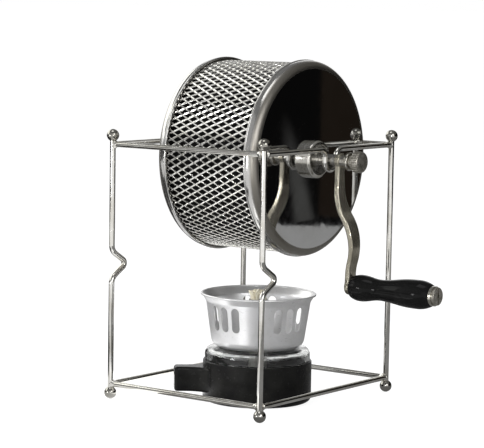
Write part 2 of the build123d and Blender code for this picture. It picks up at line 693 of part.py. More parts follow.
NODES = {
    "post_front_left": kinked_post(-POST_X, -POST_Y),
    "post_rear_left": kinked_post(-POST_X, POST_Y),
    "post_front_right": straight_post(POST_X, -POST_Y),
    "post_rear_right": straight_post(POST_X, POST_Y),
    "base_rail_front": cross_rail(-1, BASE_RAIL_Z),
    "base_rail_rear": cross_rail(1, BASE_RAIL_Z),
    "base_rail_left": long_rail(-1, BASE_RAIL_Z),
    "base_rail_right": long_rail(1, BASE_RAIL_Z),
    "top_rail_left": long_rail(-1, TOP_RAIL_Z),
    "top_rail_right": long_rail(1, TOP_RAIL_Z),
    "notched_rail_front": notched_rail(-1),
    "notched_rail_rear": notched_rail(1),
    "foot_balls": Compound(children=[foot_ball(x, y) for x, y in CORNERS]),
    "finial_balls": Compound(children=[finial_ball(x, y) for x, y in CORNERS]),
    "front_bush": bush(-1),
    "rear_bush": bush(1),
    "shaft": shaft(),
    "stop_collar": stop_collar(),
    "set_screws": Compound(children=[set_screw(along) for along in SCREW_PLACES]),
    "drum_mesh": drum_mesh(),
    "drum_liner": on_axis(tube(LINER_R, LINER_T, DRUM_FRONT, DRUM_REAR)),
    "stirring_vanes": Compound(children=[vane(360 / VANE_COUNT * index - 90) for index in range(VANE_COUNT)]),
    "rear_cap": on_axis(cap(), REAR_FACE, flip=True),
    "rear_hub": on_axis(hub(), REAR_FACE, flip=True) - screw_hole(SCREW_PLACES[0], HUB_D),
    "rear_lock_ring": on_axis(lock_ring(), REAR_FACE, flip=True),
    "front_lid": on_axis(cap(), FRONT_FACE),
    "lid_hub": on_axis(hub(), FRONT_FACE),
    "lid_lock_ring": on_axis(lock_ring(), FRONT_FACE),
    "crank_arm": crank_arm(),
    "crank_boss": crank_boss(),
    "thumb_nut": thumb_nut(),
    "grip": grip(),
    "grip_ferrule": grip_ferrule(),
    "grip_bolt": grip_bolt(),
    "burner_cup": burner_cup(),
    "glass_font": glass_font(),
    "neck_cap": neck_cap(),
    "wick_tube": wick_tube(),
    "wick": wick(),
    "windshield": windshield(),
}

os.makedirs("parts", exist_ok=True)
for name, solid in NODES.items():
    export_step(Pos(0, -ORIGIN_Y, 0) * solid, f"parts/{name}.step")
print(len(NODES), "nodes, stand centre at y =", round(-ORIGIN_Y, 3), "drum axis at z =", AXIS_Z)
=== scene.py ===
# %% [markdown]
# A hand-cranked coffee roaster: a wire stand carries a mesh drum on a shaft, a crank turns it, and a spirit
# burner with an aluminium windshield heats it from below. The CAD model comes in first and stays as it is.
# It says where every piece sits, in metres, so nothing here has to be fitted by eye. This lesson gives the
# drawn pieces their finishes and models what a drawing leaves out.

# %% Load the CAD frame
import bpy
import json
import math
from mathutils import Matrix, Quaternion, Vector


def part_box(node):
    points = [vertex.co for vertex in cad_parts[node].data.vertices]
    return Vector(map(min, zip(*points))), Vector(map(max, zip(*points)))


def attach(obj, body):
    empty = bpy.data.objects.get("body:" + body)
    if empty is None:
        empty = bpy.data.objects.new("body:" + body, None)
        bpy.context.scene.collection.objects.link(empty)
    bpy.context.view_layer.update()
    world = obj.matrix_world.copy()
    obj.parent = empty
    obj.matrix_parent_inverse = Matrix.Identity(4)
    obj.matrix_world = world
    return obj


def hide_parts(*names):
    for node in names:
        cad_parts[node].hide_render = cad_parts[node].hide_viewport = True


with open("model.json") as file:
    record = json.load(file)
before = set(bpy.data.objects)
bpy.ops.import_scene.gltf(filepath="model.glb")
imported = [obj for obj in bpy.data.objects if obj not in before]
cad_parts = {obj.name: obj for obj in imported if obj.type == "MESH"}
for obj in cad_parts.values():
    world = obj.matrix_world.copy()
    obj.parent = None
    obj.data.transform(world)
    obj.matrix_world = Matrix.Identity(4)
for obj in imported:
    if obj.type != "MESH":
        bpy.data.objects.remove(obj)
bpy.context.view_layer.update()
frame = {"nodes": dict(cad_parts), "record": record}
nodes = frame["nodes"]
bpy.ops.object.select_all(action="DESELECT")

# %% [markdown]
# The picture is taken with a long lens from the front left, a little above the drum's axis. A long lens
# keeps the stand's posts nearly parallel, and the camera is rolled by a degree, as a hand holds it. A Track
# To constraint could aim the camera, but it would undo the roll. So the camera's right, top and backward
# directions are worked out and given to it as one turn.

# %% Camera
CAMERA_AT = Vector((-1.3635, -0.9665, 0.3188))
CAMERA_LOOKS = Vector((0.79513, 0.59742, -0.10424)).normalized()
CAMERA_ROLL = math.radians(0.97)
LENS_MM = 156.33
SENSOR_MM = 36
FAR_CLIP = 400

level = CAMERA_LOOKS.cross(Vector((0, 0, 1))).normalized()
above = level.cross(CAMERA_LOOKS)
right = level * math.cos(CAMERA_ROLL) + above * math.sin(CAMERA_ROLL)
top = right.cross(CAMERA_LOOKS)
turn = Matrix((right, top, -CAMERA_LOOKS)).transposed()
bpy.ops.object.camera_add(location=CAMERA_AT, rotation=turn.to_euler())
camera = bpy.context.object
camera.name = "camera"
camera.data.lens = LENS_MM
camera.data.sensor_width = SENSOR_MM
camera.data.clip_end = FAR_CLIP
bpy.context.scene.camera = camera
print("camera lens", camera.data.lens, "mm")

# %% [markdown]
# The room is white, so the background is white wherever the eye, a mirror or the glass meets it. Light Path
# tells those rays from the rays that only carry light, which get a softer grey room, so that the white
# background doesn't pour light over the object.

# %% White room
scene = bpy.context.scene
scene.view_settings.view_transform = "Standard"


def grey(tone):
    """A grey colour of one tone, as a node's colour socket takes it."""
    return (tone, tone, tone, 1)


def add_node(tree, kind, **values):
    """A node with some of its settings (by attribute) or inputs (by name) filled in."""
    node = tree.nodes.new(kind)
    for key, value in values.items():
        if hasattr(node, key):
            setattr(node, key, value)
        else:
            node.inputs[key.replace("_", " ")].default_value = value
    return node


def seen_directly(tree):
    """1 for rays from the camera, a mirror or glass, 0 for rays that light other things."""
    path = tree.nodes.new("ShaderNodeLightPath")
    first = add_node(tree, "ShaderNodeMath", operation="MAXIMUM")
    both = add_node(tree, "ShaderNodeMath", operation="MAXIMUM")
    tree.links.new(path.outputs["Is Camera Ray"], first.inputs[0])
    tree.links.new(path.outputs["Is Glossy Ray"], first.inputs[1])
    tree.links.new(first.outputs[0], both.inputs[0])
    tree.links.new(path.outputs["Is Transmission Ray"], both.inputs[1])
    return both.outputs[0]


ROOM_LIGHT = 0.38
world = bpy.data.worlds.new("white_room")
scene.world = world
world.use_nodes = True
tree = world.node_tree
tree.nodes.clear()
lit = add_node(tree, "ShaderNodeBackground", Color=grey(1), Strength=ROOM_LIGHT)
shown = add_node(tree, "ShaderNodeBackground", Color=grey(1), Strength=1.0)
mix = tree.nodes.new("ShaderNodeMixShader")
out = tree.nodes.new("ShaderNodeOutputWorld")
tree.links.new(seen_directly(tree), mix.inputs[0])
tree.links.new(lit.outputs[0], mix.inputs[1])
tree.links.new(shown.outputs[0], mix.inputs[2])
tree.links.new(mix.outputs[0], out.inputs[0])
print("room light", ROOM_LIGHT)

# %% [markdown]
# The floor is white paper that runs far past the picture. Most of what the eye sees of it is a plain white
# glow that meets the room with no line between them. A share of ordinary matt paper is added, which is what
# keeps the soft shadow under the burner and the feet. Metal would look washed out over a white floor, so
# reflections meet a middle grey.

# %% Paper floor
FLOOR_SIZE = 300
FLOOR_DROP = 0.0004
PAPER_WHITE = 0.8
PAPER_GLOW = 0.90
PAPER_MATT = 0.3
TABLE_GREY = 0.24
bpy.ops.mesh.primitive_plane_add(size=FLOOR_SIZE, location=(0, 0, -FLOOR_DROP))
floor = bpy.context.object
floor.name = "floor"
paper = bpy.data.materials.new("floor_paper")
paper.use_nodes = True
tree = paper.node_tree
tree.nodes.clear()
matt = add_node(tree, "ShaderNodeBsdfDiffuse", Color=grey(PAPER_WHITE))
faint = add_node(tree, "ShaderNodeBsdfDiffuse", Color=grey(PAPER_MATT))
glow = add_node(tree, "ShaderNodeEmission", Color=grey(1), Strength=PAPER_GLOW)
both = tree.nodes.new("ShaderNodeAddShader")
mix = tree.nodes.new("ShaderNodeMixShader")
out = tree.nodes.new("ShaderNodeOutputMaterial")
mirrored = add_node(tree, "ShaderNodeEmission", Color=grey(TABLE_GREY), Strength=1.0)
in_mirror = tree.nodes.new("ShaderNodeMixShader")
path = tree.nodes.new("ShaderNodeLightPath")
tree.links.new(faint.outputs[0], both.inputs[0])
tree.links.new(glow.outputs[0], both.inputs[1])
tree.links.new(seen_directly(tree), mix.inputs[0])
tree.links.new(matt.outputs[0], mix.inputs[1])
tree.links.new(both.outputs[0], mix.inputs[2])
tree.links.new(path.outputs["Is Glossy Ray"], in_mirror.inputs[0])
tree.links.new(mix.outputs[0], in_mirror.inputs[1])
tree.links.new(mirrored.outputs[0], in_mirror.inputs[2])
tree.links.new(in_mirror.outputs[0], out.inputs[0])
floor.data.materials.append(paper)
print("paper floor", floor.dimensions.x, "m wide")

# %% [markdown]
# A white room would wash polished metal out. A product photographer stands cards round the object, out of
# the picture, so that a round wire gets dark edges and a mirror shows black. The lamps could be shaded
# instead, but then the light on the matt pieces would change with them. So a card here only shows in
# reflections: it has one even tone, casts no shadow and lights nothing. A soft card fades out towards its
# sides and its top.

# %% How a card is made
FADE_FROM = 0.18
FADE_TO = 0.5


def fade_out(tree, flat, out):
    """Lets a card's tone fade to clear, on oval lines about the middle of its lower edge."""
    place = tree.nodes.new("ShaderNodeTexCoord")
    pointed = add_node(tree, "ShaderNodeMapping", Location=(0, 0.25, 0), Scale=(1, 0.5, 1))
    away = add_node(tree, "ShaderNodeVectorMath", operation="LENGTH")
    fade = add_node(tree, "ShaderNodeMapRange", interpolation_type="SMOOTHSTEP",
                    From_Min=FADE_FROM, From_Max=FADE_TO)
    clear = tree.nodes.new("ShaderNodeBsdfTransparent")
    mix = tree.nodes.new("ShaderNodeMixShader")
    tree.links.new(place.outputs["Object"], pointed.inputs["Vector"])
    tree.links.new(pointed.outputs[0], away.inputs[0])
    tree.links.new(away.outputs["Value"], fade.inputs["Value"])
    tree.links.new(fade.outputs[0], mix.inputs[0])
    tree.links.new(flat.outputs[0], mix.inputs[1])
    tree.links.new(clear.outputs[0], mix.inputs[2])
    tree.links.new(mix.outputs[0], out.inputs[0])


def card(name, centre, width, height, colour, towards=None, lean=0.0, soft=False):
    """A card that only shows in reflections. It faces a point, or lies face up where no point is given."""
    facing = (Vector(towards) - Vector(centre)).normalized() if towards else Vector((0, 0, 1))
    turn = facing.to_track_quat("Z", "Y") @ Quaternion((0, 0, 1), math.radians(lean))
    bpy.ops.mesh.primitive_plane_add(size=1, location=centre, rotation=turn.to_euler())
    piece = bpy.context.object
    piece.name = name
    piece.scale = (width, height, 1)
    piece.visible_camera = False
    piece.visible_diffuse = False
    piece.visible_shadow = False
    piece.visible_transmission = False
    tint = bpy.data.materials.new(name)
    tint.use_nodes = True
    tree = tint.node_tree
    tree.nodes.clear()
    flat = add_node(tree, "ShaderNodeEmission", Color=colour, Strength=1.0)
    out = tree.nodes.new("ShaderNodeOutputMaterial")
    tree.links.new(flat.outputs[0], out.inputs[0])
    if soft:
        fade_out(tree, flat, out)
    piece.data.materials.append(tint)
    print(name, width, "x", height, "m")


print("soft cards fade from", FADE_FROM, "to", FADE_TO)

# %% [markdown]
# The lid is a mirror, so it looks like the part of the room in front of it. That is dark: a black card with
# a grey wall above it and a dark table before it. At the lid's foot a lighter patch of the table shows, and
# in its black middle a soft pale stripe and a faint brown band. This could be painted on the lid, but paint
# would stay put when the camera moves.

# %% Cards that the lid shows
LID_MIDDLE = (0.0, -0.01, 0.19)
card("card_right", (1.05, -0.83, 0.4), 3.6, 0.8, grey(0.004), towards=(0.0, 0.0, 0.4))
card("card_right_high", (1.05, -0.83, 1.6), 3.6, 1.6, (0.15, 0.148, 0.138, 1), towards=(0.0, 0.0, 1.6))
card("card_dark_table", (1.50, -0.45, 0.0015), 2.1, 2.4, grey(0.01))
card("card_table", (1.05, -0.72, 0.002), 1.3, 0.9, grey(0.38))
card("card_stripe", (0.785, -0.590, 0.120), 0.034, 0.15, (0.068, 0.068, 0.066, 1),
     towards=LID_MIDDLE, lean=-12, soft=True)
card("card_brown", (0.93, -0.570, 0.22), 0.13, 0.36, (0.016, 0.012, 0.009, 1), towards=LID_MIDDLE)

# %% [markdown]
# A round wire shows nearly the whole room in narrow bands along its length. Two light table tops in front
# and on the left give it a bright middle, a grey window and a grey ceiling its half tones, and a low dark
# card behind on the left its dark edge. A picture of a real room would give such bands too, but a few plain
# cards are easier to move.

# %% Cards for the wires and the rims
card("card_left", (-0.1, 1.37, 0.15), 2.1, 0.3, grey(0.04), towards=(0.0, 0.0, 0.15))
card("card_ceiling", (-0.2, 0.3, 1.9), 5.0, 5.0, grey(0.22), towards=(-0.2, 0.3, 0.0))
card("card_window", (-1.30, 0.42, 0.80), 1.6, 1.1, grey(0.42), towards=LID_MIDDLE)
card("card_left_table", (-0.43, 0.79, 0.001), 1.5, 1.4, grey(0.9), lean=127)
card("card_front", (-2.58, -1.94, 0.001), 12.0, 5.4, grey(1.1), lean=127)

# %% [markdown]
# The strands of the drum's mesh are small tilted mirrors, so each set of them shines only if something
# bright lies where it points. A bright card high at the back lights the strands near the top, and two
# sheets of bright paper on the table those lower down. A strip of shadow and a low dark card keep the
# crossing set dark. The last card is small and very bright, and leaves pin-point lights on the black grip.
# A brighter metal would not do instead, because it lifts both sets of strands alike.

# %% Cards for the mesh and the grip
DRUM_SIDE = (-0.07, 0.04, 0.197)
GRIP_MIDDLE = (0.0, -0.09, 0.099)
card("card_back_high", (-0.2, 1.44, 0.95), 2.2, 0.9, (2.3, 2.3, 2.2, 1), towards=DRUM_SIDE)
card("card_near_left", (-0.37, 0.27, 0.0005), 0.49, 0.56, grey(1.9))
card("card_under", (-0.045, 0.125, 0.0006), 0.15, 0.09, grey(1.9))
card("card_shadow", (-0.20, 0.75, 0.0025), 0.56, 1.10, grey(0.04), lean=14.5)
card("card_left_back", (-1.25, 1.05, 0.18), 0.9, 0.40, grey(0.06), towards=DRUM_SIDE)
card("card_spark", (-1.24, 0.50, 0.17), 0.20, 0.20, grey(17.0), towards=GRIP_MIDDLE)

# %% [markdown]
# Two windows, on the left and behind on the left, light the mesh and the windshield from the side. The
# cards already stand for them in reflections, so these two lamps are hidden there. A weaker lamp in front
# fills the shadows, one overhead catches the top of the drum, and a small flash by the camera gives gloss
# its highlights. One strong lamp would be simpler, but it would throw hard shadows.

# %% Lamps
DRUM_MIDDLE = (0.0, 0.04, 0.19)
BESIDE_LENS = Vector((0.02, -0.06, 0.02))


def lamp(name, at, size, power, mirrored=True):
    """A square soft lamp that faces the middle of the drum."""
    turn = (Vector(at) - Vector(DRUM_MIDDLE)).to_track_quat("Z", "Y")
    bpy.ops.object.light_add(type="AREA", location=at, rotation=turn.to_euler())
    light = bpy.context.object
    light.name = name
    light.data.size = size
    light.data.energy = power
    light.visible_glossy = mirrored
    print(name, power, "W")


lamp("window_left", (-1.33, 0.43, 0.62), 1.5, 13, mirrored=False)
lamp("window_back", (-0.6, 1.18, 0.45), 0.8, 11, mirrored=False)
lamp("fill_front", (-0.9, -1.6, 1.0), 0.9, 6)
lamp("overhead", (-0.3, 0.1, 1.6), 0.7, 3)
lamp("spark", CAMERA_AT + BESIDE_LENS, 0.05, 4)

# %% [markdown]
# The CAD model comes as flat triangles, and a polished wire of flat triangles glitters like a cut stone.
# The drawn meshes stay as they are, so a small geometry node group does the polishing as a live
# modifier: it welds the triangles, shades them smooth and keeps the real corners sharp. Weighted normals
# then keep large flats, such as the lid, truly flat next to their rounded edges.

# %% Polish modifier for the drawn pieces
CORNER_ANGLE = math.radians(32)
WELD_GAP = 1e-6
polish = bpy.data.node_groups.new("polish", "GeometryNodeTree")
polish.interface.new_socket("Geometry", in_out="INPUT", socket_type="NodeSocketGeometry")
polish.interface.new_socket("Geometry", in_out="OUTPUT", socket_type="NodeSocketGeometry")
start = polish.nodes.new("NodeGroupInput")
end = polish.nodes.new("NodeGroupOutput")
weld = add_node(polish, "GeometryNodeMergeByDistance", Distance=WELD_GAP)
smooth = add_node(polish, "GeometryNodeSetShadeSmooth", Shade_Smooth=True)
crease = add_node(polish, "GeometryNodeSetShadeSmooth", domain="EDGE", Shade_Smooth=False)
fold = polish.nodes.new("GeometryNodeInputMeshEdgeAngle")
sharp = add_node(polish, "FunctionNodeCompare", data_type="FLOAT", operation="GREATER_THAN")
sharp.inputs["B"].default_value = CORNER_ANGLE
polish.links.new(start.outputs[0], weld.inputs["Geometry"])
polish.links.new(weld.outputs[0], smooth.inputs["Geometry"])
polish.links.new(smooth.outputs[0], crease.inputs["Geometry"])
polish.links.new(fold.outputs["Unsigned Angle"], sharp.inputs["A"])
polish.links.new(sharp.outputs[0], crease.inputs["Selection"])
polish.links.new(crease.outputs[0], end.inputs[0])

for node in nodes.values():
    node.modifiers.new("polish", "NODES").node_group = polish
    flats = node.modifiers.new("flats", "WEIGHTED_NORMAL")
    flats.keep_sharp = True
print(len(nodes), "drawn pieces polished")

# %% [markdown]
# Two small shader groups carry what all the finishes share. Streaks are the fine lines that drawing,
# turning and brushing leave. Patches are the slow changes of tone from handling, heat and tarnish. Each
# could be drawn as a picture and wrapped on, but a noise on Object coordinates needs no wrapping and stays
# on its piece as it moves.

# %% Shared surface effects


def effect(name, output, **inputs):
    """A shader group with value or vector inputs and one value output; returns its tree, inlet and outlet."""
    group = bpy.data.node_groups.new(name, "ShaderNodeTree")
    for key, value in inputs.items():
        kind = "NodeSocketVector" if isinstance(value, tuple) else "NodeSocketFloat"
        socket = group.interface.new_socket(key, in_out="INPUT", socket_type=kind)
        socket.default_value = value
    group.interface.new_socket(output, in_out="OUTPUT", socket_type="NodeSocketFloat")
    return group, group.nodes.new("NodeGroupInput"), group.nodes.new("NodeGroupOutput")


streaks, inlet, outlet = effect("streaks", "Streak", Stretch=(1.0, 1.0, 1.0), Fineness=400.0)
place = streaks.nodes.new("ShaderNodeTexCoord")
pull = add_node(streaks, "ShaderNodeVectorMath", operation="MULTIPLY")
grain = add_node(streaks, "ShaderNodeTexNoise", Detail=4.0, Roughness=0.65)
streaks.links.new(place.outputs["Object"], pull.inputs[0])
streaks.links.new(inlet.outputs["Stretch"], pull.inputs[1])
streaks.links.new(pull.outputs[0], grain.inputs["Vector"])
streaks.links.new(inlet.outputs["Fineness"], grain.inputs["Scale"])
streaks.links.new(grain.outputs["Fac"], outlet.inputs["Streak"])

patches, inlet, outlet = effect("patches", "Patch", Size=30.0, Low=0.4, High=0.65)
place = patches.nodes.new("ShaderNodeTexCoord")
cloud = add_node(patches, "ShaderNodeTexNoise", Detail=5.0, Roughness=0.55, Distortion=0.4)
limit = patches.nodes.new("ShaderNodeMapRange")
patches.links.new(place.outputs["Object"], cloud.inputs["Vector"])
patches.links.new(inlet.outputs["Size"], cloud.inputs["Scale"])
patches.links.new(cloud.outputs["Fac"], limit.inputs["Value"])
patches.links.new(inlet.outputs["Low"], limit.inputs["From Min"])
patches.links.new(inlet.outputs["High"], limit.inputs["From Max"])
patches.links.new(limit.outputs[0], outlet.inputs["Patch"])
print("effects", [group.name for group in (streaks, patches)])

# %% [markdown]
# Every finish starts from the same recipe. Patches mix a clean and a worn colour, streaks spread the
# roughness and lift a faint bump. The numbers make the difference between drawn wire, a buffed lid and a
# lacquered grip. A material per piece could be built by hand, but one recipe keeps the finishes alike where
# the metal is alike.

# %% Recipe for a finish
STREAK_LOW = 0.3
STREAK_HIGH = 0.7
RELIEF_DEPTH = 0.0002


def place_group(tree, group, **values):
    """One of the shared effects, placed in a material with its own values."""
    node = tree.nodes.new("ShaderNodeGroup")
    node.node_tree = group
    for key, value in values.items():
        node.inputs[key].default_value = value
    return node


def finish(name, clean, worn, metallic, gloss, dull, stretch, fineness, patch, bump, shine=None):
    """A surface from a clean to a worn colour and from gloss to dull, with fine lines along stretch."""
    material = bpy.data.materials.new(name)
    material.use_nodes = True
    tree = material.node_tree
    shader = tree.nodes["Principled BSDF"]
    shader.inputs["Metallic"].default_value = metallic
    if shine is not None:
        shader.inputs["Specular IOR Level"].default_value = shine
    tone = place_group(tree, patches, Size=patch)
    colour = add_node(tree, "ShaderNodeMix", data_type="RGBA")
    colour.inputs["A"].default_value = (*clean, 1)
    colour.inputs["B"].default_value = (*worn, 1)
    tree.links.new(tone.outputs["Patch"], colour.inputs["Factor"])
    tree.links.new(colour.outputs["Result"], shader.inputs["Base Color"])
    lines = place_group(tree, streaks, Stretch=stretch, Fineness=fineness)
    sheen = add_node(tree, "ShaderNodeMapRange", From_Min=STREAK_LOW, From_Max=STREAK_HIGH,
                     To_Min=gloss, To_Max=dull)
    tree.links.new(lines.outputs["Streak"], sheen.inputs["Value"])
    tree.links.new(sheen.outputs[0], shader.inputs["Roughness"])
    relief = add_node(tree, "ShaderNodeBump", Strength=bump, Distance=RELIEF_DEPTH)
    tree.links.new(lines.outputs["Streak"], relief.inputs["Height"])
    tree.links.new(relief.outputs["Normal"], shader.inputs["Normal"])
    return material


print("recipe ready")

# %% [markdown]
# The stand is bright drawn wire. The posts keep their shine. The plain rails are a little rougher, and their
# darker colour is painted shade. The balls on the posts' ends are darker still: painted shade, set for the
# feet in the shade near the floor and used for the balls on top as well. One finish for all of it would be
# simpler, but the stand would then look cast in one piece.

# %% Finishes of the stand
EVEN = (1.0, 1.0, 1.0)
wire = finish("stand_wire", clean=(0.76, 0.75, 0.72), worn=(0.64, 0.62, 0.57), metallic=1.0,
              gloss=0.05, dull=0.12, stretch=EVEN, fineness=140, patch=60, bump=0.01)
# painted shade: the rails' darker colour stands for the darker tones that the level rails show
rail = finish("rail_steel_painted_shade", clean=(0.70, 0.69, 0.65), worn=(0.56, 0.54, 0.49), metallic=1.0,
              gloss=0.07, dull=0.16, stretch=EVEN, fineness=140, patch=60, bump=0.02)
# painted shade: the balls' darker colour stands for the shade round the feet near the floor
ball = finish("ball_steel_painted_shade", clean=(0.44, 0.43, 0.40), worn=(0.31, 0.30, 0.27), metallic=1.0,
              gloss=0.06, dull=0.18, stretch=EVEN, fineness=200, patch=80, bump=0.03)
print("stand:", wire.name, rail.name, ball.name)

# %% [markdown]
# The drum's caps are buffed to a mirror, and its hubs and bearings are turned, so their lines run round the
# shaft: noise that is squeezed along the shaft gives rings. The mesh is bright and a little rough from
# stretching. The sheet behind it is painted shade: near-black, matt and without shine, it stands in for the
# dark inside of the drum. Real grooves could be cut into the meshes, but they are finer than a triangle
# should be.

# %% Finishes of the drum
ROUND_Y = (1.0, 14.0, 1.0)
mirror = finish("polished_cap", clean=(0.62, 0.62, 0.62), worn=(0.56, 0.56, 0.55), metallic=1.0,
                gloss=0.02, dull=0.05, stretch=ROUND_Y, fineness=120, patch=25, bump=0.003)
hub = finish("polished_hub", clean=(0.76, 0.75, 0.71), worn=(0.58, 0.56, 0.51), metallic=1.0,
             gloss=0.10, dull=0.26, stretch=ROUND_Y, fineness=260, patch=70, bump=0.06)
bearing = finish("bearing_steel", clean=(0.46, 0.45, 0.43), worn=(0.33, 0.32, 0.30), metallic=1.0,
                 gloss=0.18, dull=0.34, stretch=ROUND_Y, fineness=300, patch=80, bump=0.08)
strand = finish("mesh_steel", clean=(0.92, 0.91, 0.88), worn=(0.82, 0.81, 0.76), metallic=0.94,
                gloss=0.18, dull=0.28, stretch=EVEN, fineness=500, patch=90, bump=0.03)
# painted shade: this near-black matt sheet stands in for the dark, unlit inside of the drum
painted_shade_sheet = finish("blackened_sheet", clean=(0.006, 0.006, 0.006), worn=(0.002, 0.002, 0.002), metallic=0.0,
              gloss=0.6, dull=0.85, stretch=EVEN, fineness=250, patch=60, bump=0.2, shine=0.05)
print("drum:", mirror.name, hub.name, bearing.name, strand.name, painted_shade_sheet.name)

# %% [markdown]
# The crank's arm is a warm grey strip with lines along it. The thumb nut and the grip's bolt have short
# lines along the shaft and are rubbed dull by fingers. The grip is wood or resin under black lacquer:
# almost no colour, a low shine and a smooth gloss, so that only bright lamps leave a mark on it. Plain grey
# and plain black would do from afar. Close up, lines and gloss tell steel from lacquer.

# %% Finishes of the crank
ALONG_Z = (1.0, 1.0, 0.2)
FLUTED_Y = (1.0, 0.3, 1.0)
ALONG_Y = (1.0, 0.15, 1.0)
crank = finish("crank_steel", clean=(0.56, 0.54, 0.49), worn=(0.42, 0.40, 0.35), metallic=1.0,
               gloss=0.10, dull=0.24, stretch=EVEN, fineness=300, patch=70, bump=0.04)
arm = finish("crank_arm_steel", clean=(0.39, 0.365, 0.30), worn=(0.27, 0.25, 0.195), metallic=0.80,
             gloss=0.12, dull=0.24, stretch=ALONG_Z, fineness=200, patch=70, bump=0.012)
nut = finish("turned_steel", clean=(0.40, 0.38, 0.34), worn=(0.20, 0.19, 0.16), metallic=0.80,
             gloss=0.22, dull=0.42, stretch=FLUTED_Y, fineness=420, patch=220, bump=0.12)
lacquer = finish("grip_black", clean=(0.006, 0.006, 0.006), worn=(0.009, 0.009, 0.009), metallic=0.0,
                 gloss=0.03, dull=0.06, stretch=ALONG_Y, fineness=220, patch=50, bump=0.01, shine=0.08)
print("crank:", crank.name, arm.name, nut.name, lacquer.name)

# %% [markdown]
# The burner's cup is moulded black resin, smoother than wood but not polished. Its windshield is spun
# aluminium, with faint rings round the upright axis and a skin that scatters light, so it is only partly
# metallic. The font's cap and the wick's tube are dull from heat, and the cotton is matt, with fine threads
# along it.

# %% Finishes of the burner
ROUND_Z = (1.0, 1.0, 14.0)
THREADS_Z = (1.0, 1.0, 0.25)
moulded = finish("cup_black", clean=(0.008, 0.008, 0.008), worn=(0.014, 0.014, 0.013), metallic=0.0,
                 gloss=0.16, dull=0.30, stretch=EVEN, fineness=300, patch=45, bump=0.02, shine=0.10)
spun = finish("shield_aluminium", clean=(0.80, 0.80, 0.81), worn=(0.70, 0.70, 0.70), metallic=0.66,
              gloss=0.27, dull=0.32, stretch=ROUND_Z, fineness=200, patch=40, bump=0.012)
dull = finish("burner_metal", clean=(0.48, 0.47, 0.45), worn=(0.28, 0.27, 0.25), metallic=1.0,
              gloss=0.30, dull=0.50, stretch=ROUND_Z, fineness=260, patch=70, bump=0.10)
cotton = finish("wick_cotton", clean=(0.86, 0.82, 0.68), worn=(0.68, 0.62, 0.46), metallic=0.0,
                gloss=0.85, dull=1.0, stretch=THREADS_Z, fineness=1400, patch=260, bump=0.6)
print("burner:", moulded.name, spun.name, dull.name, cotton.name)

# %% [markdown]
# The fuel font is clear pressed glass. Glass has no recipe of patches: its colour and shine are the same
# all over, so they are set on the shader itself, and only a slow ripple is added to its surface. A thin
# see-through colour would be quicker to render, but it would not bend the light.

# %% Clear glass
GLASS_INDEX = 1.5
glass = bpy.data.materials.new("clear_glass")
glass.use_nodes = True
tree = glass.node_tree
shader = tree.nodes["Principled BSDF"]
shader.inputs["Base Color"].default_value = (0.96, 0.97, 0.96, 1)
shader.inputs["Roughness"].default_value = 0.0
shader.inputs["IOR"].default_value = GLASS_INDEX
shader.inputs["Transmission Weight"].default_value = 1.0
ripple = place_group(tree, streaks, Stretch=(1.0, 1.0, 2.0), Fineness=90.0)
relief = add_node(tree, "ShaderNodeBump", Strength=0.15, Distance=0.0006)
tree.links.new(ripple.outputs["Streak"], relief.inputs["Height"])
tree.links.new(relief.outputs["Normal"], shader.inputs["Normal"])
print("glass with an index of", GLASS_INDEX)

# %% [markdown]
# Only the caps' flat faces were buffed. The rounded rim kept the satin grey of pressed steel, and its
# outermost edge is bright again. The distance from the shaft tells the zones apart: a Mapping node drops
# the place along the shaft, the length that is left runs over two ramps, and these tint the colour and add
# roughness. A second material on the rim's faces would be simpler, but it would leave a hard line.

# %% Satin rim of the caps
RIM_WIDTH = 0.0080
SATIN_TONE = (0.56, 0.53, 0.48)
SATIN_BLUR = (0.36, 0.36, 0.36)
EDGE_BLUR = (0.13, 0.13, 0.13)
RIM_TONE = [(0.05, (1, 1, 1)), (0.13, SATIN_TONE), (0.80, SATIN_TONE), (0.90, (1, 0.99, 0.97))]
RIM_BLUR = [(0.05, (0, 0, 0)), (0.13, SATIN_BLUR), (0.80, SATIN_BLUR), (0.90, EDGE_BLUR)]
rim_low, rim_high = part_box("front_lid")
rim_middle = (rim_low + rim_high) / 2
rim_from = rim_high.x - rim_middle.x - RIM_WIDTH
tree = mirror.node_tree
shader = tree.nodes["Principled BSDF"]
place = tree.nodes.new("ShaderNodeTexCoord")
centred = add_node(tree, "ShaderNodeMapping", Location=(-rim_middle.x, 0, -rim_middle.z), Scale=(1, 0, 1))
away = add_node(tree, "ShaderNodeVectorMath", operation="LENGTH")
outward = add_node(tree, "ShaderNodeMapRange", From_Min=rim_from, From_Max=rim_from + RIM_WIDTH)
tint = add_node(tree, "ShaderNodeMix", data_type="RGBA", blend_type="MULTIPLY")
tint.inputs["Factor"].default_value = 1.0
blur = add_node(tree, "ShaderNodeMath", operation="ADD")
tree.links.new(place.outputs["Object"], centred.inputs["Vector"])
tree.links.new(centred.outputs[0], away.inputs[0])
tree.links.new(away.outputs["Value"], outward.inputs["Value"])
for stops, joined in ((RIM_TONE, tint.inputs["B"]), (RIM_BLUR, blur.inputs[1])):
    zones = tree.nodes.new("ShaderNodeValToRGB")
    while len(zones.color_ramp.elements) < len(stops):
        zones.color_ramp.elements.new(1.0)
    for stop, (position, value) in zip(zones.color_ramp.elements, stops):
        stop.position = position
        stop.color = (*value, 1)
    tree.links.new(outward.outputs[0], zones.inputs["Fac"])
    tree.links.new(zones.outputs["Color"], joined)
tree.links.new(shader.inputs["Base Color"].links[0].from_socket, tint.inputs["A"])
tree.links.new(tint.outputs["Result"], shader.inputs["Base Color"])
tree.links.new(shader.inputs["Roughness"].links[0].from_socket, blur.inputs[0])
tree.links.new(blur.outputs[0], shader.inputs["Roughness"])
print("rim from", round(rim_from, 4), "m out of the axis")

# %% [markdown]
# The record gives every drawn piece a material slot, so one loop hands out the finishes by slot. A few
# pieces look different from the rest of their slot on the real object, and a short list of exceptions comes
# first for them.

